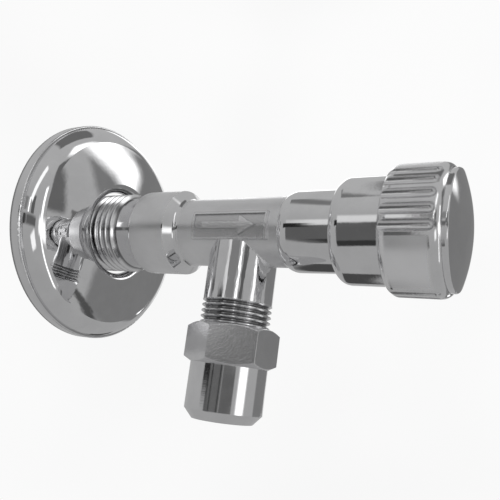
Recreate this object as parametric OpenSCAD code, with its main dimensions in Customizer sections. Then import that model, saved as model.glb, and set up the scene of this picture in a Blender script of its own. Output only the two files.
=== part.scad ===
// Screw-down angle stop valve with a wall escutcheon, a turning handle and a compression outlet.
// Millimetres. +X runs from the wall to the handle, +Z is up and the outlet points down.
// The origin is on the main axis, in the plane of the wall.

/* [Inlet] */
// Major diameter of the inlet thread
inlet_thread_d = 20.955; // [18:0.001:26.4]
// Pitch of the inlet thread
inlet_pitch = 1.814; // [1.2:0.001:2.2]
// Number of grooves in the inlet thread
inlet_grooves = 13; // [8:1:16]
// Last crest of the inlet thread, from the wall
inlet_crest_x = 14.5; // [11:0.1:17]
// Diameter of the relief behind the inlet thread
relief_d = 18.8; // [16:0.1:19]
// Diameter of the inlet waterway
waterway_d = 11; // [9:0.1:13]

/* [Body] */
// Diameter of the collar
collar_d = 21.44; // [20:0.01:26]
// Start of the collar, from the wall
collar_x = 21; // [18:0.1:25]
// Length of the collar's cylinder
collar_len = 10.4; // [6:0.1:12.4]
// Length of the collar's fall to the tube
collar_fall = 2.6; // [2:0.1:5]
// Diameter of the tube
tube_d = 16.74; // [16:0.01:20]
// Length of the rounded rise from the tube to the headwork chamber
chamber_rise = 2.7; // [1.6:0.1:4]
// Start of the headwork chamber's cylinder, from the wall
chamber_x = 64; // [60:0.1:76]
// Diameter of the headwork chamber
chamber_d = 18.94; // [18.7:0.01:22.6]
// Length of the headwork chamber's cylinder
chamber_len = 16; // [14:0.1:19.5]
// Bore of the tube
tube_bore_d = 12.8; // [12.6:0.1:14]
// Seat face, from the wall
seat_x = 42.5; // [39:0.1:44]
// Diameter of the seat's opening
seat_d = 8; // [7.4:0.1:9]
// Height of the seat's raised lip
seat_lip = 1.3; // [0.5:0.1:2]
// Thickness of the wall that carries the seat
seat_wall = 5.5; // [3:0.1:7]

/* [Plaque] */
// Length of the raised plaque
plaque_len = 20; // [12:0.1:23]
// Height of the raised plaque
plaque_h = 6.5; // [4:0.1:8]
// Drop of the plaque's middle below the axis
plaque_drop = 0.65; // [0:0.05:1.5]
// How far the plaque stands proud of the tube
plaque_proud = 0.4; // [0.2:0.05:0.8]
// How far the frame and the arrow stand proud of the plaque
relief_proud = 0.45; // [0.1:0.05:0.6]

/* [Outlet] */
// Outlet axis, from the wall
outlet_x = 49.2; // [47.5:0.1:50.5]
// Diameter of the outlet neck
neck_d = 16.52; // [15.5:0.01:16.6]
// Major diameter of the outlet thread
outlet_thread_d = 16.662; // [16.6:0.001:17.6]
// Pitch of the outlet thread
outlet_pitch = 1.337; // [0.8:0.001:1.6]
// Number of grooves in the outlet thread
outlet_grooves = 11; // [7:1:13]
// Top of the outlet thread, below the axis
outlet_thread_top = 17.5; // [15:0.1:20]
// Bore for the supply tube
supply_bore_d = 10.1; // [9:0.01:10.8]
// Depth of the socket for the supply tube, above its cone
socket_len = 7.7; // [5:0.1:10]

/* [Compression nut] */
// Width of the nut's hexagon across flats
nut_af = 19; // [18.6:0.1:23]
// Top of the nut, below the axis
nut_top = 23.2; // [21.5:0.1:25]
// Height of the nut's hexagon
hex_h = 9.1; // [6:0.1:11]
// Diameter of the nut's skirt
nut_skirt_d = 18.28; // [17.8:0.01:18.6]
// Length of the nut's skirt
nut_skirt_len = 10.6; // [7:0.1:14]
// Length of the nut's nose
nose_len = 2.2; // [1:0.1:3]
// Diameter of the nut's nose at its end
nose_d = 14.4; // [12:0.1:16]
// Largest diameter of the olive
olive_d = 13.2; // [12.6:0.1:14]

/* [Escutcheon] */
// Diameter of the escutcheon
rose_d = 59; // [48:0.1:75]
// Height of the escutcheon's side wall
rose_rim = 3.2; // [1.6:0.1:4]
// Thickness of the escutcheon's sheet
rose_sheet = 0.8; // [0.6:0.05:1.2]
// Radius of the escutcheon's dome
dome_r = 90; // [85:1:140]
// Radius of the round shoulder between the dome and the side wall
shoulder_r = 7; // [7:0.1:10]
// Width of the round shoulder
shoulder_w = 5.2; // [4:0.1:5.2]
// Width of the step between the side wall and the shoulder
rose_step = 0.8; // [0.5:0.1:2]
// Width of the lip that rolls in around the thread
rose_lip = 2.2; // [1.4:0.1:3]

/* [Headwork] */
// Outer diameter of the headwork's thread
head_thread_d = 15.8; // [15.4:0.1:16.4]
// Length of the headwork's thread
head_thread_len = 12; // [8:0.1:12.8]
// Reach of the headwork's barrel below its thread
head_barrel_len = 11; // [9:0.1:11.4]
// Width of the headwork's hexagon across flats
head_af = 17; // [16.2:0.1:17.1]
// Height of the headwork's hexagon
head_hex_h = 4.2; // [3:0.1:4.4]
// Diameter of the headwork's neck
head_neck_d = 11.2; // [10:0.1:13]
// Length of the headwork's neck
head_neck_len = 4.4; // [4.2:0.1:6]
// Thickness of the headwork's gasket
gasket_t = 1; // [0.6:0.1:1.6]
// Bore of the headwork for the jumper's piston
piston_bore_d = 10; // [9.8:0.1:10.4]
// Width across flats of the bore that keeps the jumper from turning
guide_af = 8.5; // [8.2:0.1:8.6]

/* [Spindle] */
// Major diameter of the spindle's thread
screw_d = 6; // [5.4:0.1:6.2]
// Lead of the spindle's thread
screw_lead = 1.5; // [1:0.05:2]
// Travel of the jumper from closed to open
stroke = 5.25; // [4:0.05:5.6]
// Diameter of the spindle's stem
stem_d = 6.8; // [6.6:0.05:7]
// Diameter of the spindle's thrust collar
thrust_d = 8.2; // [7.9:0.05:8.3]
// Number of splines on the spindle's end
splines = 20; // [12:1:24]
// Thread diameter of the handle screw
handle_screw_d = 4; // [3:0.1:4.2]

/* [Handle] */
// How far the handle's skirt reaches back over the headwork chamber
skirt_lap = 5.9; // [4:0.1:9]
// Diameter of the handle's skirt
skirt_d = 23.92; // [23.4:0.01:26]
// Length of the handle's skirt
skirt_len = 10.9; // [8:0.1:12.4]
// Diameter of the handle's grip
grip_d = 28; // [27.6:0.1:34]
// Length of the handle's grip
grip_len = 12.4; // [12.2:0.1:17]
// Number of fluted zones round the grip
zones = 3; // [2:1:3]
// Number of flutes in a zone
flutes = 5; // [3:1:5]
// Angle from one flute to the next
flute_pitch = 13.3; // [12:0.1:14.4]
// Angle of the first zone's middle above the horizontal
zone_turn = 15.7; // [0:0.1:60]
// Radius of a flute's round bottom
flute_r = 1.2; // [0.8:0.05:1.3]
// Depth of a flute
flute_depth = 0.95; // [0.4:0.05:1]
// Diameter of the cap
cap_d = 25.6; // [24.6:0.1:25.6]
// Height that the cap stands proud of the grip
cap_rise = 3.35; // [2.8:0.05:4]
// Radius of the cap's dome
cap_dome_r = 38; // [34:1:60]

/* [Fits] */
// Radial clearance of turning and sliding fits
running = 0.05; // [0.02:0.01:0.09]
// Radial clearance of the nut on the outlet thread
nut_clear = 0.07; // [0.04:0.01:0.09]
// Clearance of pieces that pass each other freely
pass_clear = 0.4; // [0.3:0.05:0.6]
// Clearance of seals and rings in their grooves
seal_clear = 0.02; // [0.01:0.01:0.04]
// Radial clearance of the escutcheon on the inlet thread
rose_clear = 0.67; // [0.6:0.01:1.2]

/* [Hidden] */
$fn = 96;

// Overlap that makes cuts and joined shapes run cleanly through each other
eps = 0.01;
// Flank angle, crest width and depth of a pipe thread, as shares of the pitch
flank_angle = 27.5;
crest_share = 1 / 6;
depth_share = 0.6403;

// Inlet
inlet_r = inlet_thread_d / 2;
inlet_depth = inlet_pitch * depth_share;
inlet_start = inlet_crest_x - inlet_grooves * inlet_pitch - inlet_pitch / 2;
inlet_end = inlet_crest_x + inlet_pitch * crest_share / 2;
relief_r = relief_d / 2;

// Body
collar_r = collar_d / 2;
collar_end = collar_x + collar_len;
collar_foot_r = 1.5;
tube_r = tube_d / 2;
chamber_r = chamber_d / 2;
body_end = chamber_x + chamber_len;
bore_r = tube_bore_d / 2;
bore_x = seat_x - seat_lip;
seat_lip_w = 1;
head_thread_r = head_thread_d / 2;
socket_x = body_end - head_thread_len - 1;

// Outlet: lengths are measured down from the main axis
outlet_r = outlet_thread_d / 2;
outlet_depth = outlet_pitch * depth_share;
branch_len = outlet_thread_top + (outlet_grooves + 0.5) * outlet_pitch;
supply_r = supply_bore_d / 2;
outlet_way_r = supply_r - 0.95;
cone_len = 2.3;
cone_slope = tan(30.4);
cone_r = supply_r + cone_len * cone_slope;
socket_top = branch_len - cone_len - socket_len;

// Nut and olive
nut_thread_r = outlet_r + nut_clear;
nut_hex_end = nut_top + hex_h;
nut_skirt_end = nut_hex_end + nut_skirt_len;
nut_end = nut_skirt_end + nose_len;
nut_corner_r = nut_af / 2 / cos(30);
olive_r = olive_d / 2;
olive_start = branch_len - cone_len + 0.35;
olive_wide = branch_len + 0.3;
olive_wide_end = olive_wide + 1.9;
olive_end = olive_wide_end + 2.4;
olive_lip = 0.18;
nut_shoulder = olive_wide_end + 0.2;
nut_cone_end = olive_end + 0.3;

// Escutcheon
rose_r = rose_d / 2;
rose_bore_r = inlet_r + rose_clear;
dome_edge_r = rose_r - rose_step;
dome_edge_x = rose_rim + rose_step * 0.45;
lip_r = rose_bore_r + rose_lip;
// The shoulder's arc meets the dome's arc where the shoulder starts
shoulder_start = rose_r - shoulder_w;
dome_turn = asin(shoulder_start / dome_r);
shoulder_mid_r = (dome_r - shoulder_r) * sin(dome_turn);
shoulder_mid_x = dome_edge_x - sqrt(pow(shoulder_r, 2) - pow(dome_edge_r - shoulder_mid_r, 2));
apex_x = shoulder_mid_x + dome_r - (dome_r - shoulder_r) * cos(dome_turn);
rim_round = 0.4;

// Headwork
piston_r = piston_bore_d / 2 - running;
head_barrel_x = socket_x + 1.5 - head_barrel_len;
head_face = body_end + gasket_t;
head_hex_end = head_face + head_hex_h;
head_top = head_hex_end + head_neck_len;
head_barrel_r = bore_r - 0.2;
guide_x = socket_x + 3.2;

// Spindle and jumper: shoulder is the step in the headwork that carries the thrust
shoulder_x = head_face + 0.5;
washer_t = 0.5;
thrust_t = 1.4;
stem_r = stem_d / 2;
screw_r = screw_d / 2;
clip_t = 0.6;
clip_gap = 0.15;
clip_x = head_top + clip_gap;
groove_w = 1.4;
groove_r = stem_r - 1.1;
ring_inner_x = shoulder_x + 2.1;
ring_outer_x = head_top - 2.4;
spline_x = clip_x + clip_t + 0.2;
spline_depth = 0.4;
web_x = spline_x + 0.6;
web_t = 3.3;
web_end = web_x + web_t;
spindle_end = web_end - 0.3;
cup_r = bore_r - 0.6;
cup_floor_x = seat_x + 3.1;
cup_end = cup_floor_x + 2;
cup_wall = 0.5;
piston_x = head_barrel_x + 0.8;
piston_end = guide_x - stroke - 0.75;
jumper_end = shoulder_x - washer_t - thrust_t - stroke - 1;
tapped_x = piston_x + 1.5;
screw_x = tapped_x + stroke + 1;
piston_groove_x = piston_x + 3;
piston_groove_r = piston_r - 1.05;
retainer_t = 0.6;
retainer_r = seat_d / 2 - 0.8;
washer_screw_r = 1.45;
washer_screw_head = 2;

// Handle
skirt_r = skirt_d / 2;
skirt_x = body_end - skirt_lap;
grip_r = grip_d / 2;
grip_x = skirt_x + skirt_len;
grip_end = grip_x + grip_len;
skirt_round = 2.9;
skirt_round_x = skirt_x + 2.6;
grip_round = 2.2;
grip_step = min(grip_r - skirt_r, grip_round);
grip_round_x = grip_x + sqrt(2 * grip_round * grip_step - pow(grip_step, 2));
end_round = 2.3;
end_round_x = grip_end - 1.9;
lip_bore_r = max(chamber_r, head_af / 2 / cos(30)) + running + 0.02 + (pass_clear - 0.4);
cavity_r = lip_bore_r + 0.5;
cap_r = cap_d / 2;
cap_seat_x = grip_end - 0.6;
cap_socket_r = cap_r - 1.4;
cap_neck_len = 1.3;
cap_ring_r = 0.3;
lock_washer_t = 0.8;
screw_head_x = web_end + lock_washer_t;
screw_head_h = 2.2;
screw_head_r = handle_screw_d / 2 + 1.6;
flute_x = grip_x - 0.5;
flute_end = end_round_x - 0.4;

// Turns a profile in the plane of radius and height about the main axis
module turned() {
    rotate([0, 90, 0]) rotate_extrude() children();
}

// Turns the same kind of profile about the outlet axis, with heights measured downwards
module hung() {
    translate([outlet_x, 0, 0]) rotate([180, 0, 0]) rotate_extrude() children();
}

// A plain length of a profile, from one height to another, out to one radius
module band(from, to, r) {
    translate([0, from]) square([r, to - from]);
}

// A length of a profile whose edge is an arc that reaches its full radius r at height at
module crown(from, to, r, at, round_r) {
    band(from, to, r - round_r);
    intersection() {
        band(from, to, r);
        translate([r - round_r, at]) circle(round_r);
    }
}

// A length of a profile that tapers from one radius to another
module taper(from, to, r_from, r_to) {
    polygon([[0, from], [r_from, from], [r_to, to], [0, to]]);
}

// The material between two thread crests: a V with a narrow flat bottom
module thread_cut(at, r, pitch) {
    depth = pitch * depth_share;
    root = pitch * crest_share / 2;
    over = 0.2;
    mouth = root + (depth + over) * tan(flank_angle);
    polygon([[r - depth, at - root], [r + over, at - mouth],
        [r + over, at + mouth], [r - depth, at + root]]);
}

// A ring of one cross-section round the main axis
module o_ring(at, r, section_r) {
    turned() translate([r, at]) circle(section_r);
}

// A washer round the main axis
module washer(from, to, r_in, r_out) {
    turned() translate([r_in, from]) square([r_out - r_in, to - from]);
}

// A hexagonal bar along the main axis
module hex_bar(from, to, af) {
    translate([from, 0, 0]) rotate([0, 90, 0]) cylinder(h = to - from, r = af / 2 / cos(30), $fn = 6);
}

module body_outline() {
    inlet_run = inlet_depth * tan(flank_angle);
    difference() {
        union() {
            taper(inlet_start, inlet_start + inlet_run, inlet_r - inlet_depth, inlet_r);
            band(inlet_start + inlet_run - eps, inlet_end, inlet_r);
        }
        for (i = [1:inlet_grooves])
            thread_cut(inlet_crest_x - (i - 0.5) * inlet_pitch, inlet_r, inlet_pitch);
    }
    taper(inlet_end - eps, inlet_end + (inlet_r - relief_r) * tan(flank_angle), inlet_r, relief_r);
    band(inlet_end - eps, collar_x + eps, relief_r);
    difference() {
        band(collar_x - collar_r + relief_r, collar_x + eps, collar_r);
        translate([collar_r, collar_x - collar_r + relief_r]) circle(collar_r - relief_r);
    }
    band(collar_x, collar_end + eps, collar_r);
    collar_shoulder();
    band(collar_end, chamber_x + eps, tube_r);
    // The rise starts just inside the tube, so that the two surfaces cross
    bury = 0.1;
    rise_r = (pow(chamber_rise, 2) + pow(chamber_r - tube_r, 2)) / 2 / (chamber_r - tube_r);
    crown(chamber_x - chamber_rise - bury, chamber_x, chamber_r, chamber_x, rise_r);
    band(chamber_x - eps, body_end, chamber_r);
}

// The collar's straight fall and the small fillet where it meets the tube
module collar_shoulder() {
    foot_len = collar_foot_r * sin(45);
    // The fillet ends just inside the tube, so that the two surfaces cross
    sink = 0.02;
    foot_h = collar_foot_r - collar_foot_r * cos(45) - sink;
    fall_end = collar_end + collar_fall;
    taper(collar_end, fall_end - foot_len, collar_r, tube_r + foot_h);
    difference() {
        band(fall_end - foot_len - eps, fall_end, tube_r + foot_h);
        translate([tube_r + collar_foot_r - sink, fall_end]) circle(collar_foot_r);
    }
}

module branch_outline() {
    run = outlet_depth * tan(flank_angle);
    band(0, outlet_thread_top + eps, neck_d / 2);
    difference() {
        union() {
            band(outlet_thread_top, branch_len - run + eps, outlet_r);
            taper(branch_len - run, branch_len, outlet_r, outlet_r - outlet_depth);
        }
        for (i = [0:outlet_grooves - 1])
            thread_cut(outlet_thread_top + (i + 0.5) * outlet_pitch, outlet_r, outlet_pitch);
    }
}

// Raised plaque on the side of the tube, with a frame and a flow arrow
module plaque() {
    frame_w = 0.6;
    arrow_w = 1.7;
    head_w = 4.6;
    mid = outlet_x - 0.2;
    module slab(proud, from, to, bottom, top) {
        intersection() {
            translate([from, 0, 0]) rotate([0, 90, 0]) cylinder(r = tube_r + proud, h = to - from);
            translate([from, -tube_r - 2, bottom]) cube([to - from, tube_r, top - bottom]);
        }
    }
    bottom = -plaque_drop - plaque_h / 2;
    top = -plaque_drop + plaque_h / 2;
    from = mid - plaque_len / 2;
    to = mid + plaque_len / 2;
    slab(plaque_proud, from, to, bottom, top);
    slab(plaque_proud + relief_proud, from, to, top - frame_w, top);
    slab(plaque_proud + relief_proud, from, to, bottom, bottom + frame_w);
    slab(plaque_proud + relief_proud, from, from + frame_w, bottom, top);
    slab(plaque_proud + relief_proud, to - frame_w, to, bottom, top);
    intersection() {
        translate([from, 0, 0]) rotate([0, 90, 0])
            cylinder(r = tube_r + plaque_proud + relief_proud, h = plaque_len);
        translate([mid, -tube_r / 2, -plaque_drop]) rotate([90, 0, 0]) linear_extrude(tube_r)
            polygon([[-plaque_len * 0.36, -arrow_w / 2], [plaque_len * 0.14, -arrow_w / 2],
                [plaque_len * 0.14, -head_w / 2], [plaque_len * 0.36, 0],
                [plaque_len * 0.14, head_w / 2], [plaque_len * 0.14, arrow_w / 2],
                [-plaque_len * 0.36, arrow_w / 2]]);
    }
}

module valve_body() {
    color("silver") difference() {
        union() {
            turned() body_outline();
            hung() branch_outline();
            plaque();
        }
        turned() {
            band(inlet_start - eps, seat_x - seat_wall, waterway_d / 2);
            band(seat_x - seat_wall - eps, seat_x + eps, seat_d / 2);
            difference() {
                band(bore_x, socket_x + eps, bore_r);
                band(bore_x - eps, seat_x, seat_d / 2 + seat_lip_w);
            }
            band(socket_x, body_end + eps, head_thread_r + running);
        }
        hung() {
            band(0, socket_top + eps, outlet_way_r);
            band(socket_top, branch_len + eps, supply_r);
            taper(branch_len - cone_len, branch_len + eps, supply_r, cone_r);
        }
    }
}

// A sheet shell: the side wall, the step, the dome and the lip that rolls in to the bore
module rose_solid(inset) {
    outer = rose_r - inset;
    edge = dome_edge_r - inset;
    crown_x = dome_edge_x - inset;
    crown(-eps, rose_rim - inset, outer, rose_rim - inset - rim_round, rim_round);
    band(0, rose_rim - inset - rim_round, outer);
    band(0, crown_x, edge);
    // The shoulder stands this far proud of the dome where they meet, so that the two surfaces cross
    proud = 0.02;
    intersection() {
        translate([0, apex_x - dome_r]) circle(dome_r - inset);
        union() {
            band(0, apex_x, shoulder_start);
            translate([shoulder_mid_r, shoulder_mid_x]) circle(shoulder_r + proud - inset);
        }
        band(0, apex_x, edge);
    }
}

module wall_escutcheon() {
    lip_x = apex_x - dome_r + sqrt(dome_r * dome_r - lip_r * lip_r);
    color("silver") turned() {
        difference() {
            rose_solid(0);
            rose_solid(rose_sheet);
            band(-1, apex_x + 1, lip_r);
            translate([0, -1]) square([rose_r + 1, 1]);
        }
        intersection() {
            difference() {
                translate([lip_r, lip_x - rose_lip]) circle(rose_lip);
                translate([lip_r, lip_x - rose_lip]) circle(rose_lip - rose_sheet);
            }
            translate([rose_bore_r, lip_x - rose_lip]) square([rose_lip + eps, rose_lip]);
        }
    }
}

module headwork_body() {
    thread_pitch = 1;
    grooves = floor((body_end - socket_x - 2) / thread_pitch) - 1;
    color("goldenrod") difference() {
        union() {
            turned() difference() {
                union() {
                    band(head_barrel_x, head_face, head_barrel_r);
                    band(socket_x + 1, head_face, head_thread_r);
                    band(head_hex_end - eps, head_top, head_neck_d / 2);
                }
                for (i = [1:grooves])
                    thread_cut(socket_x + 1 + i * thread_pitch, head_thread_r, thread_pitch);
            }
            intersection() {
                hex_bar(head_face, head_hex_end, head_af);
                turned() {
                    taper(head_face, head_face + 0.5, head_af / 2, head_af / 2 + 0.9);
                    band(head_face + 0.5, head_hex_end - 0.5, head_af);
                    taper(head_hex_end - 0.5, head_hex_end, head_af / 2 + 0.9, head_af / 2);
                }
            }
        }
        turned() {
            band(head_barrel_x - eps, guide_x, piston_bore_d / 2);
            band(shoulder_x - eps, head_top + eps, stem_r + running);
        }
        hex_bar(guide_x - eps, shoulder_x, guide_af);
    }
}

module headwork_gasket() {
    color("firebrick") washer(body_end, head_face, head_thread_r + running, chamber_r - 0.15);
}

// A splined bar: teeth of one depth round the main axis
module splined_bar(from, to, r) {
    tooth = 360 / splines;
    translate([from, 0, 0]) rotate([0, 90, 0]) linear_extrude(to - from)
        polygon([for (i = [0:splines - 1]) each
            [for (c = [[0, -spline_depth], [0.3, 0], [0.7, 0]])
                (r + c[1]) * [cos((i + c[0]) * tooth), sin((i + c[0]) * tooth)]]]);
}

module spindle() {
    thread_len = jumper_end + stroke - screw_x;
    color("goldenrod") difference() {
        union() {
            turned() difference() {
                union() {
                    taper(screw_x, screw_x + 0.6, screw_r - 0.6, screw_r);
                    band(screw_x + 0.6, shoulder_x - washer_t - thrust_t, screw_r);
                    band(shoulder_x - washer_t - thrust_t, shoulder_x - washer_t, thrust_d / 2);
                    band(shoulder_x - washer_t - eps, spline_x, stem_r);
                }
                for (i = [1:floor(thread_len / screw_lead)])
                    thread_cut(screw_x + (i - 0.2) * screw_lead, screw_r, screw_lead * 0.8);
                for (at = [ring_inner_x, ring_outer_x])
                    translate([groove_r, at - groove_w / 2]) square([2, groove_w]);
                translate([stem_r - 0.7, clip_x - 0.05]) square([2, clip_t + 0.1]);
            }
            splined_bar(spline_x - 0.1, spindle_end, stem_r - running);
        }
        turned() band(spindle_end - 5.4, spindle_end + eps, handle_screw_d / 2);
    }
}

module stem_ring(at) {
    section_r = (stem_r + running - groove_r) / 2 - seal_clear;
    o_ring(at, (stem_r + running + groove_r) / 2, section_r);
}

module spindle_o_ring_inner() {
    color("dimgray") stem_ring(ring_inner_x);
}

module spindle_o_ring_outer() {
    color("dimgray") stem_ring(ring_outer_x);
}

module friction_washer() {
    color("white") washer(shoulder_x - washer_t, shoulder_x, stem_r + 0.1, thrust_d / 2);
}

module spindle_clip() {
    gap = 3;
    color("dimgray") difference() {
        washer(clip_x, clip_x + clip_t, stem_r - 0.7 + seal_clear, stem_r + 1);
        translate([clip_x - 1, -gap / 2, -stem_r - 2]) cube([clip_t + 2, gap, stem_r + 2]);
    }
}

module valve_jumper() {
    color("goldenrod") difference() {
        union() {
            turned() difference() {
                union() {
                    band(cup_floor_x - 1.4, cup_end, cup_r);
                    band(cup_end, piston_x, screw_r + 0.8);
                    band(piston_x, piston_end, piston_r);
                }
                translate([piston_groove_r, piston_groove_x - 0.75]) square([3, 1.5]);
            }
            hex_bar(piston_end - eps, jumper_end, guide_af - 2 * running);
        }
        turned() {
            band(cup_floor_x - 2, cup_floor_x, cup_r - cup_wall);
            band(cup_floor_x - eps, cup_floor_x + 6.4, washer_screw_r + running);
            band(tapped_x, jumper_end + eps, screw_r + running);
        }
    }
}

module jumper_o_ring() {
    outer = piston_bore_d / 2;
    color("dimgray") o_ring(piston_groove_x, (outer + piston_groove_r) / 2,
        (outer - piston_groove_r) / 2 - seal_clear);
}

module seat_washer() {
    color("dimgray") washer(seat_x, cup_floor_x, washer_screw_r + running, cup_r - cup_wall - running);
}

module washer_retainer() {
    color("goldenrod") washer(seat_x - retainer_t, seat_x, washer_screw_r + running, retainer_r);
}

module washer_screw() {
    head_x = seat_x - retainer_t - washer_screw_head;
    head_r = retainer_r - 0.4;
    color("goldenrod") difference() {
        turned() {
            crown(head_x, head_x + 1.2, head_r, head_x + 1.2, 1.2);
            band(head_x + 1.2, seat_x - retainer_t, head_r);
            band(seat_x - retainer_t - eps, cup_floor_x + 5.8, washer_screw_r);
        }
        translate([head_x - eps, -0.4, -head_r - 1]) cube([1, 0.8, 2 * head_r + 2]);
    }
}

// The round-bottomed flutes, cut in zones with a smooth panel between each two zones
module flute_cuts() {
    for (zone = [0:zones - 1], i = [0:flutes - 1]) {
        turn = zone_turn + zone * 360 / zones + (i - (flutes - 1) / 2) * flute_pitch;
        rotate([90 - turn, 0, 0]) translate([flute_x, 0, grip_r - flute_depth + flute_r]) {
            rotate([0, 90, 0]) cylinder(r = flute_r, h = flute_end - flute_x, $fn = 32);
            translate([flute_end - flute_x, 0, 0]) sphere(r = flute_r, $fn = 32);
        }
    }
}

module handle() {
    color("silver") difference() {
        turned() difference() {
            union() {
                crown(skirt_x, skirt_round_x, skirt_r, skirt_round_x, skirt_round);
                band(skirt_round_x - eps, grip_round_x, skirt_r);
                crown(grip_x, grip_round_x, grip_r, grip_round_x, grip_round);
                band(grip_round_x - eps, end_round_x + eps, grip_r);
                crown(end_round_x, grip_end, grip_r, end_round_x, end_round);
            }
            band(skirt_x - eps, web_x, lip_bore_r);
            band(skirt_x + 1.5, web_x, cavity_r);
            band(grip_round_x - 0.4, web_x, grip_r - 2.1);
            band(web_end, grip_end, cap_socket_r);
            band(cap_seat_x, grip_end + eps, cap_r + running);
        }
        flute_cuts();
        splined_bar(web_x - 1, web_end + 1, stem_r);
    }
}

module handle_lock_washer() {
    color("dimgray") difference() {
        washer(web_end, screw_head_x, handle_screw_d / 2 + 0.1, screw_head_r + 0.1);
        translate([web_end - 1, -0.3, 0]) cube([lock_washer_t + 2, 0.6, screw_head_r + 2]);
    }
}

module handle_screw() {
    color("dimgray") difference() {
        turned() {
            band(spindle_end - 4.9, screw_head_x + eps, handle_screw_d / 2 - running);
            band(screw_head_x, screw_head_x + screw_head_h - 0.6, screw_head_r);
            taper(screw_head_x + screw_head_h - 0.6, screw_head_x + screw_head_h,
                screw_head_r, screw_head_r - 0.6);
        }
        hex_bar(screw_head_x + 0.8, screw_head_x + screw_head_h + 1, 2.5);
    }
}

module handle_cap() {
    rim_r = 0.8;
    top = grip_end + cap_rise;
    dome_drop = cap_dome_r - sqrt(pow(cap_dome_r, 2) - pow(cap_r - rim_r, 2));
    rim_x = top - dome_drop - rim_r + 0.05;
    color("silver") turned() difference() {
        union() {
            intersection() {
                union() {
                    band(cap_seat_x, rim_x, cap_r);
                    band(cap_seat_x, top, cap_r - rim_r);
                    translate([cap_r - rim_r, rim_x]) circle(rim_r);
                }
                union() {
                    translate([0, top - cap_dome_r]) circle(cap_dome_r);
                    band(cap_seat_x, rim_x, cap_r);
                }
                band(cap_seat_x, top, cap_r);
            }
            band(cap_seat_x - cap_neck_len, cap_seat_x + eps, cap_socket_r - 0.1);
        }
        band(cap_seat_x - cap_neck_len - eps, grip_end + 1.2, cap_socket_r - 1.8);
        translate([cap_socket_r - 2 * cap_ring_r - 2 * seal_clear, cap_seat_x - cap_neck_len + 0.2])
            square([2, cap_neck_len - 0.4]);
    }
}

module cap_o_ring() {
    color("dimgray")
        o_ring(cap_seat_x - cap_neck_len / 2, cap_socket_r - cap_ring_r - seal_clear, cap_ring_r);
}

module compression_nut() {
    chamfer = 1;
    color("silver") difference() {
        union() {
            intersection() {
                translate([outlet_x, 0, -nut_hex_end]) rotate([0, 0, 30])
                    cylinder(h = hex_h, r = nut_corner_r, $fn = 6);
                hung() {
                    taper(nut_top, nut_top + chamfer, nut_corner_r - 1.7 * chamfer, nut_corner_r);
                    band(nut_top + chamfer, nut_hex_end - chamfer, nut_corner_r + 1);
                    taper(nut_hex_end - chamfer, nut_hex_end, nut_corner_r, nut_corner_r - 1.7 * chamfer);
                }
            }
            hung() {
                band(nut_hex_end - eps, nut_skirt_end, nut_skirt_d / 2);
                taper(nut_skirt_end, nut_end, nut_skirt_d / 2, nose_d / 2);
            }
        }
        hung() {
            taper(nut_top - eps, nut_top + 0.8, nut_thread_r + 0.8, nut_thread_r);
            band(nut_top, nut_shoulder, nut_thread_r);
            taper(nut_shoulder - eps, nut_cone_end, olive_r + 0.15, supply_r);
            band(nut_cone_end - eps, nut_end + eps, supply_r);
        }
    }
}

module compression_olive() {
    color("goldenrod") hung() difference() {
        union() {
            taper(olive_start, olive_wide, supply_r + olive_lip, olive_r - 0.15);
            band(olive_wide, olive_wide_end, olive_r - 0.15);
            taper(olive_wide_end, olive_end, olive_r - 0.15, supply_r + olive_lip);
        }
        band(olive_start - 1, olive_end + 1, supply_r);
    }
}

valve_body();
wall_escutcheon();
headwork_body();
headwork_gasket();
spindle();
spindle_o_ring_inner();
spindle_o_ring_outer();
friction_washer();
spindle_clip();
valve_jumper();
jumper_o_ring();
seat_washer();
washer_retainer();
washer_screw();
handle();
handle_screw();
handle_lock_washer();
handle_cap();
cap_o_ring();
compression_nut();
compression_olive();
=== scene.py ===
import math

import bpy
from mathutils import Matrix, Vector


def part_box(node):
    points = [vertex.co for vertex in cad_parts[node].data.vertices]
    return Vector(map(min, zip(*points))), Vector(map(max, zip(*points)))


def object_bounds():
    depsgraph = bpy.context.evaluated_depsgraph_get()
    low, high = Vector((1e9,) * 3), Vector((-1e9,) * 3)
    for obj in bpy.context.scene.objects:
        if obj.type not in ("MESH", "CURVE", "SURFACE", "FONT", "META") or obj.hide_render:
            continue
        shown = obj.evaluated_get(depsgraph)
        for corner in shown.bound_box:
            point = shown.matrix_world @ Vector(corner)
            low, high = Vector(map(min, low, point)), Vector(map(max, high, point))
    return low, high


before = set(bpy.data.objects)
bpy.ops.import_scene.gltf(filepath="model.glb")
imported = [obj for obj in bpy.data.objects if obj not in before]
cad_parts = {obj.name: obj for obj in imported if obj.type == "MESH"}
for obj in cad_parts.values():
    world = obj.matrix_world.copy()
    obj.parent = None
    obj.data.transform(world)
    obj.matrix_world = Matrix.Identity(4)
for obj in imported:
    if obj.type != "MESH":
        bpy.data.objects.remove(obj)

CAD_LOW, CAD_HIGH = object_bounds()

# Lengths are metres and angles degrees, in the frame of the CAD model: +X runs from the wall to
# the handle, +Z is up and the outlet points down. An azimuth runs from -Y towards +X.

# ---------------------------------------------------------------- camera
CAMERA_AT = (0.11967, -0.11900, -0.03439)
CAMERA_AZIMUTH = 30.14
CAMERA_ELEVATION = -9.07
CAMERA_ROLL = 7.64
LENS_MM = 42.04
SENSOR_MM = 36.0
LENS_SHIFT = (0.0089, 0.0655)

# ---------------------------------------------------------------- studio
# What the chrome shows of the studio is a plain grey room, with cards hung in it. Levels are
# linear light, with 1 for white.
ROOM_LEVEL = 0.43
ROOM_TOP_LEVEL = 0.50
FLOOR_LEVEL = 0.40
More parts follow.
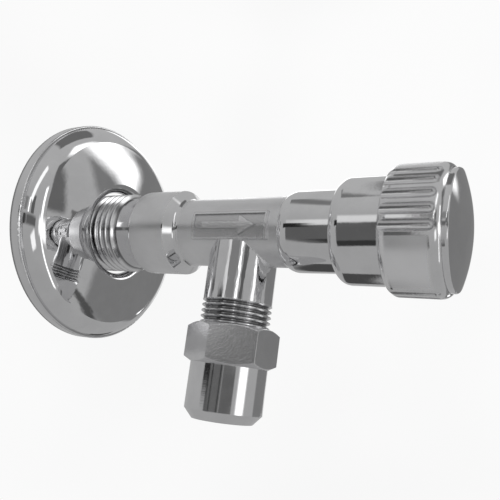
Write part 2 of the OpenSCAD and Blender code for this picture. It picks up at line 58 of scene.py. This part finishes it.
# Each card: azimuth, elevation, width, height, turn, soft edge (all degrees), level
CARDS = {
    # Beside the camera: these show as the bands along the body and the handle
    "black upright": (-22.5, -20, 15, 44, 0, 1.5, 0.12),
    "black bar": (-22, -36.5, 11, 10, 0, 1.5, 0.04),
    "pale board": (-19, 10, 14, 13, 0, 5, 0.80),
    "black left board": (-34, 3, 20, 10, 0, 2, 0.02),
    "dark ceiling": (0, 90, 34, 34, 0, 4, 0.16),
    "grey strip overhead": (-54, 61, 26, 5, -24, 3, 0.20),
    "black low left": (-151, -42, 8, 40, 20, 2, 0.07),
    "white softbox left": (-150, 33, 22, 20, 0, 6, 1.6),
    # In front and to the right: these show as upright streaks on the branch and the nut
    "dark doorway": (14, -2, 74, 9, 0, 4, 0.13),
    "black post 1": (-15, -2, 4, 9, 0, 1, 0.04),
    "black post 2": (9, -2, 4, 9, 0, 1, 0.05),
    "pale post": (15, -2, 2.5, 9, 0, 1, 0.28),
    "shade front": (-1, 12, 26, 12, 0, 2, 0.24),
    "thin lamp front": (20, 11, 3.5, 13, 0, 1, 1.9),
    "dark screen": (35, 11, 12, 15, 0, 2, 0.12),
    "lamp left": (-86, 9, 9, 9, 0, 3, 0.85),
    "post left 1": (-69, 10, 5, 8, 0, 2, 0.19),
    "post left 2": (-107, 10, 8, 8, 0, 3, 0.16),
    "dark post right": (91, 10, 8, 8, 0, 2, 0.16),
    "thin post right": (110, 10, 3, 8, 0, 1, 0.16),
    "window right": (76, -1, 24, 10, 0, 8, 1.7),
    # Over and behind: these show in the escutcheon's dome and the cap
    "grey panel behind": (152, 14, 58, 66, 0, 6, 0.22),
    "white diagonal softbox": (126, 43, 46, 13, -32, 8, 1.9),
    "white upper stripe": (163, 36, 26, 3, -24, 2, 0.9),
    "grey flag": (95, 26, 19, 29, 4, 3, 0.15),
    "white arc top": (74, 9, 7, 30, 0, 3, 1.8),
    "white arc foot": (83, -20, 5, 34, 37, 3, 1.7),
    "black cord": (123, -15, 40, 2.2, -20, 1, 0.09),
    "small lamp": (171, -8, 5, 8, 0, 2, 2.2),
    "white softbox behind": (-165, 17, 16, 40, 0, 5, 0.9),
    # High and low in front: these fleck the flutes
    "white blind high": (33, 30, 10, 34, -28, 3, 1.3),
    "white blind low": (44, -17, 16, 14, 30, 4, 1.2),
}

# ---------------------------------------------------------------- body
# The satin lengths of the body along X; the collar's fall between them is polished
SATIN_LENGTHS = ((0.0207, 0.0311), (0.0341, 0.0612))
THREAD_END = 0.0155
BRANCH_X = 0.0492
BRANCH_RADIUS = 0.0090
PLAQUE_X = (0.0390, 0.0590)
PLAQUE_Z = (-0.0039, 0.0026)
PLAQUE_FIELD_RADIUS = 0.00885
# Each pair is where an effect is still nothing and where it is whole
PLAQUE_FRONT_Y = (-0.004, -0.006)
BRANCH_START_Z = (-0.002, -0.004)
TUBE_SKIN_RADIUS = (0.00838, 0.00850)
OUTLET_THREAD_Z = (-0.0172, -0.0176)
INLET_SIDE_X = (0.03, 0.02)
OUTLET_SIDE_X = (0.03, 0.04)
INLET_GROOVE_RADIUS = (0.0100, 0.0094)
OUTLET_GROOVE_RADIUS = (0.0080, 0.0075)

# ---------------------------------------------------------------- escutcheon and nut
SHEET_BACK_X = (0.0008, 0.0002)
# How far below the nut's top its hexagon ends, from all skirt to all hexagon
HEXAGON_FOOT = (0.0093, 0.0089)

# ---------------------------------------------------------------- handle
PANEL_X = (0.0862, 0.0952)
ZONE_TURN, ZONE_STEP, ZONE_HALF_WIDTH = 15.7, 120.0, 34.0


class Shader:
    """A short way to write a node tree: each call adds one node and gives back one output."""

    def __init__(self, tree):
        self.tree = tree
        tree.nodes.clear()

    def feed(self, socket, value):
        if isinstance(value, bpy.types.NodeSocket):
            self.tree.links.new(value, socket)
        elif value is not None:
            socket.default_value = value

    def node(self, kind, *values, out=0, inputs=None, **settings):
        n = self.tree.nodes.new("ShaderNode" + kind)
        for key, value in settings.items():
            setattr(n, key, value)
        for socket, value in zip(n.inputs, values):
            self.feed(socket, value)
        for key, value in (inputs or {}).items():
            self.feed(n.inputs[key], value)
        return n.outputs[out] if n.outputs else None

    def math(self, operation, *values):
        return self.node("Math", *values, operation=operation)

    def dot(self, vector, axis):
        return self.node("VectorMath", vector, tuple(axis), operation="DOT_PRODUCT", out="Value")

    def ramp(self, value, from_low, from_high, to_low=0.0, to_high=1.0):
        """value eased from one range to another, and held outside it."""
        return self.node("MapRange", value, from_low, from_high, to_low, to_high,
                         interpolation_type="SMOOTHSTEP")

    def mix(self, amount, low, high):
        """low where amount is 0 and high where it is 1."""
        n = self.tree.nodes.new("ShaderNodeMix")
        for key, value in zip(("Factor", "A", "B"), (amount, low, high)):
            self.feed(n.inputs[key], value)
        return n.outputs["Result"]

    def tint(self, amount, low, high):
        """The colour low where amount is 0 and high where it is 1."""
        n = self.tree.nodes.new("ShaderNodeMix")
        n.data_type = "RGBA"
        for index, value in zip((0, 6, 7), (amount, low, high)):
            self.feed(n.inputs[index], value)
        return n.outputs[2]

    def noise(self, place, size, detail=3.0, roughness=0.5, stretch=(1, 1, 1)):
        """Noise whose features are about size metres across."""
        if stretch != (1, 1, 1):
            place = self.node("VectorMath", place, stretch, operation="MULTIPLY")
        return self.node("TexNoise", out="Fac", inputs={
            "Vector": place, "Scale": 1 / size, "Detail": detail, "Roughness": roughness})

    def inside(self, value, low, high, soft):
        """1 where value is between low and high, with soft edges."""
        return self.math("MULTIPLY", self.ramp(value, low - soft, low + soft),
                         self.ramp(value, high + soft, high - soft))


def direction(azimuth, elevation):
    az, el = math.radians(azimuth), math.radians(elevation)
    return Vector((math.sin(az) * math.cos(el), -math.cos(az) * math.cos(el), math.sin(el)))


def make_camera():
    """The studio camera: below the valve's axis and to the handle's side, tilted a little."""
    data = bpy.data.cameras.new("studio_camera")
    data.lens, data.sensor_width = LENS_MM, SENSOR_MM
    data.shift_x, data.shift_y = LENS_SHIFT
    data.clip_start, data.clip_end = 0.005, 20
    cam = bpy.data.objects.new("studio_camera", data)
    bpy.context.scene.collection.objects.link(cam)
    az, roll = math.radians(CAMERA_AZIMUTH), math.radians(CAMERA_ROLL)
    back = direction(CAMERA_AZIMUTH, CAMERA_ELEVATION)
    level = Vector((math.cos(az), math.sin(az), 0))
    right = level * math.cos(roll) + back.cross(level) * math.sin(roll)
    up = back.cross(right)
    facing = Matrix((right, up, back)).transposed().to_4x4()
    cam.matrix_world = Matrix.Translation(CAMERA_AT) @ facing
    bpy.context.scene.camera = cam


def hang_card(sh, look, level, azimuth, elevation, width, height, turn, soft, brightness):
    """Adds one soft-edged card to the room's light, and gives back the new light."""
    out = direction(azimuth, elevation)
    az, roll = math.radians(azimuth), math.radians(turn)
    across = Vector((math.cos(az), math.sin(az), 0))
    along = out.cross(across)
    right = across * math.cos(roll) + along * math.sin(roll)
    up = along * math.cos(roll) - across * math.sin(roll)
    ahead = sh.dot(look, out)
    depth = sh.math("MAXIMUM", ahead, 0.001)
    cover = sh.ramp(ahead, 0.0, 0.05)
    for axis, size in ((right, width), (up, height)):
        half, edge = math.tan(math.radians(size / 2)), math.radians(soft / 2)
        offset = sh.math("ABSOLUTE", sh.math("DIVIDE", sh.dot(look, axis), depth))
        cover = sh.math("MULTIPLY", cover, sh.ramp(offset, half + edge, half - edge))
    return sh.mix(cover, level, brightness)


def make_room():
    world = bpy.data.worlds.new("studio_room")
    world.use_nodes = True
    sh = Shader(world.node_tree)
    look = sh.node("TexCoord", out="Generated")
    height = sh.dot(look, (0, 0, 1))
    level = sh.ramp(height, -0.9, -0.1, FLOOR_LEVEL, ROOM_LEVEL)
    level = sh.mix(sh.ramp(height, 0.1, 0.9), level, ROOM_TOP_LEVEL)
    for card in CARDS.values():
        level = hang_card(sh, look, level, *card)
    background = sh.node("Background", level, 1.0)
    sh.node("OutputWorld", background)
    bpy.context.scene.world = world


# ---------------------------------------------------------------- floor and backdrop
FLOOR_Z = CAD_LOW[2] - 0.35
SWEEP_RADIUS = 1.4
SWEEP_HEIGHT = 1.7
SWEEP_STEPS = 24
SWEEP_SIDES = 64


def make_backdrop():
    """A pale seamless sweep: a floor that curves up into a closed wall all round the valve."""
    verts, faces = [], []
    for i in range(SWEEP_STEPS + 1):
        turn = math.pi * i / SWEEP_STEPS
        # A squared-off egg: flat under the valve, upright at the wall, closed overhead
        r = SWEEP_RADIUS * math.sin(turn) ** 0.6
        z = FLOOR_Z + SWEEP_HEIGHT * (1 - math.copysign(abs(math.cos(turn)) ** 0.6, math.cos(turn)))
        for k in range(SWEEP_SIDES):
            side = 2 * math.pi * k / SWEEP_SIDES
            verts.append((r * math.cos(side), r * math.sin(side), z))
    for i in range(SWEEP_STEPS):
        for k in range(SWEEP_SIDES):
            a, b = i * SWEEP_SIDES + k, i * SWEEP_SIDES + (k + 1) % SWEEP_SIDES
            faces.append((a, b, b + SWEEP_SIDES, a + SWEEP_SIDES))
    mesh = bpy.data.meshes.new("backdrop")
    mesh.from_pydata(verts, [], faces)
    mesh.shade_smooth()
    sweep = bpy.data.objects.new("backdrop", mesh)
    bpy.context.scene.collection.objects.link(sweep)
    for ray in ("diffuse", "glossy", "transmission", "shadow", "volume_scatter"):
        setattr(sweep, "visible_" + ray, False)
    mat = bpy.data.materials.new("backdrop_paper")
    mat.use_nodes = True
    sh = Shader(mat.node_tree)
    paper = sh.noise(sh.node("TexCoord", out="Object"), 0.8, 2.0)
    glow = sh.ramp(paper, 0.3, 0.7, 0.93, 0.97)
    sh.node("OutputMaterial", sh.node("Emission", (1, 1, 1, 1), glow))
    mesh.materials.append(mat)


# ---------------------------------------------------------------- materials
def finish(name, build):
    """A material whose shader build(sh, place) makes; place is the point on the part in metres."""
    mat = bpy.data.materials.new(name)
    mat.use_nodes = True
    sh = Shader(mat.node_tree)
    place = sh.node("TexCoord", out="Object")
    sh.node("OutputMaterial", build(sh, place))
    return mat


def split(sh, place):
    """The x, y and z of place."""
    n = sh.tree.nodes.new("ShaderNodeSeparateXYZ")
    sh.tree.links.new(place, n.inputs[0])
    return n.outputs


def surface(sh, colour, roughness, height, metallic=1.0, edge=0.00012, relief=0.00002, **extra):
    """One principled surface, its edges eased by edge metres and its height map relief deep."""
    eased = sh.node("Bevel", edge, samples=4)
    normal = sh.node("Bump", inputs={"Strength": 1.0, "Distance": relief, "Height": height,
                                     "Normal": eased})
    inputs = {"Base Color": colour, "Roughness": roughness, "Metallic": metallic, "Normal": normal}
    inputs.update(extra)
    return sh.node("BsdfPrincipled", inputs=inputs)


def edge_wear(sh, reach):
    """1 on convex and concave edges, falling to 0 about reach metres from them."""
    eased = sh.node("Bevel", reach, samples=4)
    true = sh.node("NewGeometry", out="Normal")
    same = sh.node("VectorMath", eased, true, operation="DOT_PRODUCT", out="Value")
    return sh.ramp(same, 0.98, 0.80)


def grey(value):
    return (value, value, value * 1.01, 1)


def chrome_colour(sh, place, darkened=None, low=0.70, high=0.80):
    """Chrome with faint cloudy films, made darker where the third argument is 1; on the body this
    darkening includes painted shade.
    """
    film = sh.noise(place, 0.006, 4.0, 0.6)
    colour = sh.tint(sh.ramp(film, 0.3, 0.7), grey(low + 0.05), grey(high))
    if darkened is not None:
        colour = sh.tint(darkened, colour, grey(low * 0.45))
    return colour


def off_axis(sh, a, b):
    """How far a point is from an axis, from its two distances across it."""
    return sh.math("SQRT", sh.math("ADD", sh.math("MULTIPLY", a, a), sh.math("MULTIPLY", b, b)))


def body_chrome(sh, place):
    x, y, z = split(sh, place)
    radius = off_axis(sh, y, z)
    satin = 0.0
    for low, high in SATIN_LENGTHS:
        satin = sh.math("MAXIMUM", satin, sh.inside(x, low, high, 0.0001))
    # The branch: near its own axis and outside the tube
    beside = off_axis(sh, sh.math("SUBTRACT", x, BRANCH_X), y)
    branch = sh.math("MULTIPLY", sh.ramp(beside, BRANCH_RADIUS, BRANCH_RADIUS - 0.0004),
                     sh.math("MULTIPLY", sh.ramp(radius, *TUBE_SKIN_RADIUS),
                             sh.ramp(z, *BRANCH_START_Z)))
    satin = sh.math("MULTIPLY", satin, sh.math("SUBTRACT", 1.0, branch))
    plaque = sh.math("MULTIPLY", sh.inside(x, *PLAQUE_X, 0.00005),
                     sh.math("MULTIPLY", sh.inside(z, *PLAQUE_Z, 0.00005),
                             sh.ramp(y, *PLAQUE_FRONT_Y)))
    field = sh.math("MULTIPLY", plaque,
                    sh.ramp(radius, PLAQUE_FIELD_RADIUS + 0.0001, PLAQUE_FIELD_RADIUS))
    threads = sh.ramp(x, THREAD_END + 0.0003, THREAD_END)
    threads = sh.math("MAXIMUM", threads, sh.ramp(z, *OUTLET_THREAD_Z))
    # Painted shade: the roots of the inlet and outlet threads are darkened, as if shaded in their
    # grooves
    painted_root_shade = sh.math("MULTIPLY", threads, sh.math("MAXIMUM",
                    sh.math("MULTIPLY", sh.ramp(radius, *INLET_GROOVE_RADIUS),
                            sh.ramp(x, *INLET_SIDE_X)),
                    sh.math("MULTIPLY", sh.ramp(beside, *OUTLET_GROOVE_RADIUS),
                            sh.ramp(x, *OUTLET_SIDE_X))))
    grain = sh.noise(place, 0.00022, 2.0, 0.6)
    stipple = sh.noise(place, 0.00050, 3.0, 0.7)
    smudge = sh.noise(place, 0.009, 4.0, 0.6)
    lathe = sh.noise(place, 0.0006, 3.0, 0.6, (1, 0.02, 0.02))
    cast = sh.noise(place, 0.0016, 3.0, 0.6, (1, 1, 0.12))
    rough = sh.mix(satin, sh.ramp(smudge, 0.3, 0.7, 0.04, 0.09),
                   sh.ramp(smudge, 0.3, 0.7, 0.28, 0.36))
    rough = sh.mix(plaque, rough, 0.20)
    rough = sh.mix(threads, rough, sh.ramp(smudge, 0.3, 0.7, 0.08, 0.16))
    rough = sh.mix(edge_wear(sh, 0.00025), rough, 0.18)
    height = sh.mix(satin, sh.math("MULTIPLY", smudge, 0.3),
                    sh.math("ADD", sh.math("MULTIPLY", grain, 0.25),
                            sh.math("MULTIPLY", lathe, 0.15)))
    height = sh.mix(branch, height, sh.math("MULTIPLY", cast, 2.5))
    height = sh.mix(plaque, height, sh.math("MULTIPLY", stipple, 4.0))
    outline = sh.math("MULTIPLY", plaque, edge_wear(sh, 0.00022))
    # The colour is darkened by the painted shade in the thread roots, by the plaque's outline and
    # by part of its field
    darkened = sh.math("MAXIMUM", painted_root_shade, sh.math("MAXIMUM", outline, sh.math("MULTIPLY", field, 0.3)))
    return surface(sh, chrome_colour(sh, place, darkened), rough, height)


def sheet_chrome(sh, place):
    x = split(sh, place)[0]
    smudge = sh.noise(place, 0.012, 4.0, 0.55)
    scratch = sh.noise(place, 0.0012, 2.0, 0.5, (1, 0.15, 1))
    behind = sh.ramp(x, *SHEET_BACK_X)
    rough = sh.ramp(smudge, 0.3, 0.7, 0.02, 0.05)
    rough = sh.mix(sh.ramp(scratch, 0.68, 0.76), rough, 0.10)
    rough = sh.mix(behind, rough, 0.35)
    height = sh.math("ADD", smudge, sh.math("MULTIPLY", scratch, 0.02))
    return surface(sh, chrome_colour(sh, place, behind), rough, height, relief=0.00004)


def handle_chrome(sh, place):
    x, y, z = split(sh, place)
    smudge = sh.noise(place, 0.008, 4.0, 0.6)
    speck = sh.noise(place, 0.0005, 2.0, 0.5)
    # The plain panels between the fluted zones are satin, and their chrome is painted lighter as a
    # painted sheen
    turn = sh.math("DEGREES", sh.math("ARCTAN2", z, sh.math("MULTIPLY", y, -1.0)))
    from_zone = sh.math("ABSOLUTE", sh.math("WRAP", sh.math("SUBTRACT", turn, ZONE_TURN),
                                            ZONE_STEP / 2, -ZONE_STEP / 2))
    panel = sh.math("MULTIPLY", sh.inside(x, *PANEL_X, 0.0004),
                    sh.ramp(from_zone, ZONE_HALF_WIDTH, ZONE_HALF_WIDTH + 1.5))
    rough = sh.ramp(smudge, 0.3, 0.7, 0.04, 0.08)
    rough = sh.mix(sh.ramp(speck, 0.70, 0.78), rough, 0.16)
    rough = sh.mix(edge_wear(sh, 0.0003), rough, 0.14)
    rough = sh.mix(panel, rough, sh.ramp(smudge, 0.3, 0.7, 0.30, 0.36))
    height = sh.math("ADD", smudge, sh.math("MULTIPLY", speck, 0.02))
    # Painted sheen: the panels take a lighter copy of the chrome colour
    colour = sh.tint(panel, chrome_colour(sh, place), chrome_colour(sh, place, low=0.84, high=0.92))
    return surface(sh, colour, rough, height, edge=0.00035, relief=0.00003)


def cap_chrome(sh, place):
    smudge = sh.noise(place, 0.008, 4.0, 0.6)
    lathe = sh.noise(place, 0.0009, 3.0, 0.6, (0.3, 1, 1))
    rough = sh.ramp(smudge, 0.3, 0.7, 0.05, 0.10)
    height = sh.math("ADD", smudge, sh.math("MULTIPLY", lathe, 0.03))
    return surface(sh, chrome_colour(sh, place), rough, height, relief=0.00003)


def nut_chrome(sh, place):
    z = split(sh, place)[2]
    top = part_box("compression_nut")[1][2]
    hexagon = sh.ramp(z, *(top - foot for foot in HEXAGON_FOOT))
    stipple = sh.noise(place, 0.00045, 3.0, 0.65)
    smudge = sh.noise(place, 0.006, 4.0, 0.6)
    lathe = sh.noise(place, 0.0004, 2.0, 0.5, (0.04, 0.04, 1))
    rough = sh.mix(hexagon, sh.ramp(smudge, 0.3, 0.7, 0.06, 0.12),
                   sh.ramp(stipple, 0.3, 0.7, 0.08, 0.16))
    rough = sh.mix(edge_wear(sh, 0.0003), rough, 0.12)
    height = sh.mix(hexagon, sh.math("MULTIPLY", lathe, 0.25), sh.math("MULTIPLY", stipple, 1.1))
    return surface(sh, chrome_colour(sh, place), rough, height, edge=0.00025)


def brass(sh, place):
    tarnish = sh.noise(place, 0.004, 5.0, 0.65)
    turning = sh.noise(place, 0.0003, 2.0, 0.5, (1, 0.05, 0.05))
    worn = edge_wear(sh, 0.0003)
    colour = sh.tint(sh.ramp(tarnish, 0.35, 0.7), (0.74, 0.50, 0.20, 1), (0.56, 0.35, 0.13, 1))
    colour = sh.tint(worn, colour, (0.86, 0.66, 0.34, 1))
    rough = sh.mix(worn, sh.ramp(tarnish, 0.3, 0.7, 0.24, 0.42), 0.18)
    return surface(sh, colour, rough, turning, relief=0.00003)


def rubber(sh, place):
    bloom = sh.noise(place, 0.002, 4.0, 0.6)
    grain = sh.noise(place, 0.0002, 2.0, 0.5)
    colour = sh.tint(sh.ramp(bloom, 0.4, 0.8), (0.018, 0.018, 0.019, 1), (0.05, 0.05, 0.052, 1))
    rough = sh.ramp(bloom, 0.3, 0.7, 0.48, 0.7)
    return surface(sh, colour, rough, grain, metallic=0.0)


def fibre(sh, place):
    strands = sh.noise(place, 0.0005, 5.0, 0.7, (0.2, 1, 0.6))
    colour = sh.tint(sh.ramp(strands, 0.35, 0.7), (0.20, 0.045, 0.03, 1), (0.36, 0.10, 0.06, 1))
    return surface(sh, colour, sh.ramp(strands, 0.3, 0.7, 0.6, 0.85), strands, metallic=0.0,
                   relief=0.00005)


def polymer(sh, place):
    cloud = sh.noise(place, 0.002, 3.0, 0.5)
    colour = sh.tint(cloud, (0.66, 0.66, 0.64, 1), (0.80, 0.80, 0.78, 1))
    return surface(sh, colour, sh.ramp(cloud, 0.3, 0.7, 0.32, 0.48), cloud, metallic=0.0)


def steel(sh, place):
    brushed = sh.noise(place, 0.0004, 4.0, 0.6, (1, 0.1, 0.1))
    stain = sh.noise(place, 0.003, 4.0, 0.6)
    colour = sh.tint(sh.ramp(stain, 0.4, 0.75), (0.58, 0.57, 0.55, 1), (0.40, 0.38, 0.36, 1))
    rough = sh.mix(edge_wear(sh, 0.0002), sh.ramp(stain, 0.3, 0.7, 0.26, 0.40), 0.16)
    return surface(sh, colour, rough, brushed)


FINISHES = {
    "chrome": body_chrome, "chrome_sheet": sheet_chrome, "chrome_handle": handle_chrome,
    "chrome_cap": cap_chrome, "chrome_nut": nut_chrome, "brass": brass, "rubber": rubber,
    "fibre": fibre, "polymer": polymer, "steel": steel,
}


def dress_parts():
    """Gives each CAD node the finish of its material slot."""
    made = {name: finish(name + "_finish", build) for name, build in FINISHES.items()}
    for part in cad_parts.values():
        for slot in part.material_slots:
            slot.material = made[slot.material.name]


make_camera()
make_room()
make_backdrop()
dress_parts()
bpy.context.scene.view_settings.view_transform = "Standard"
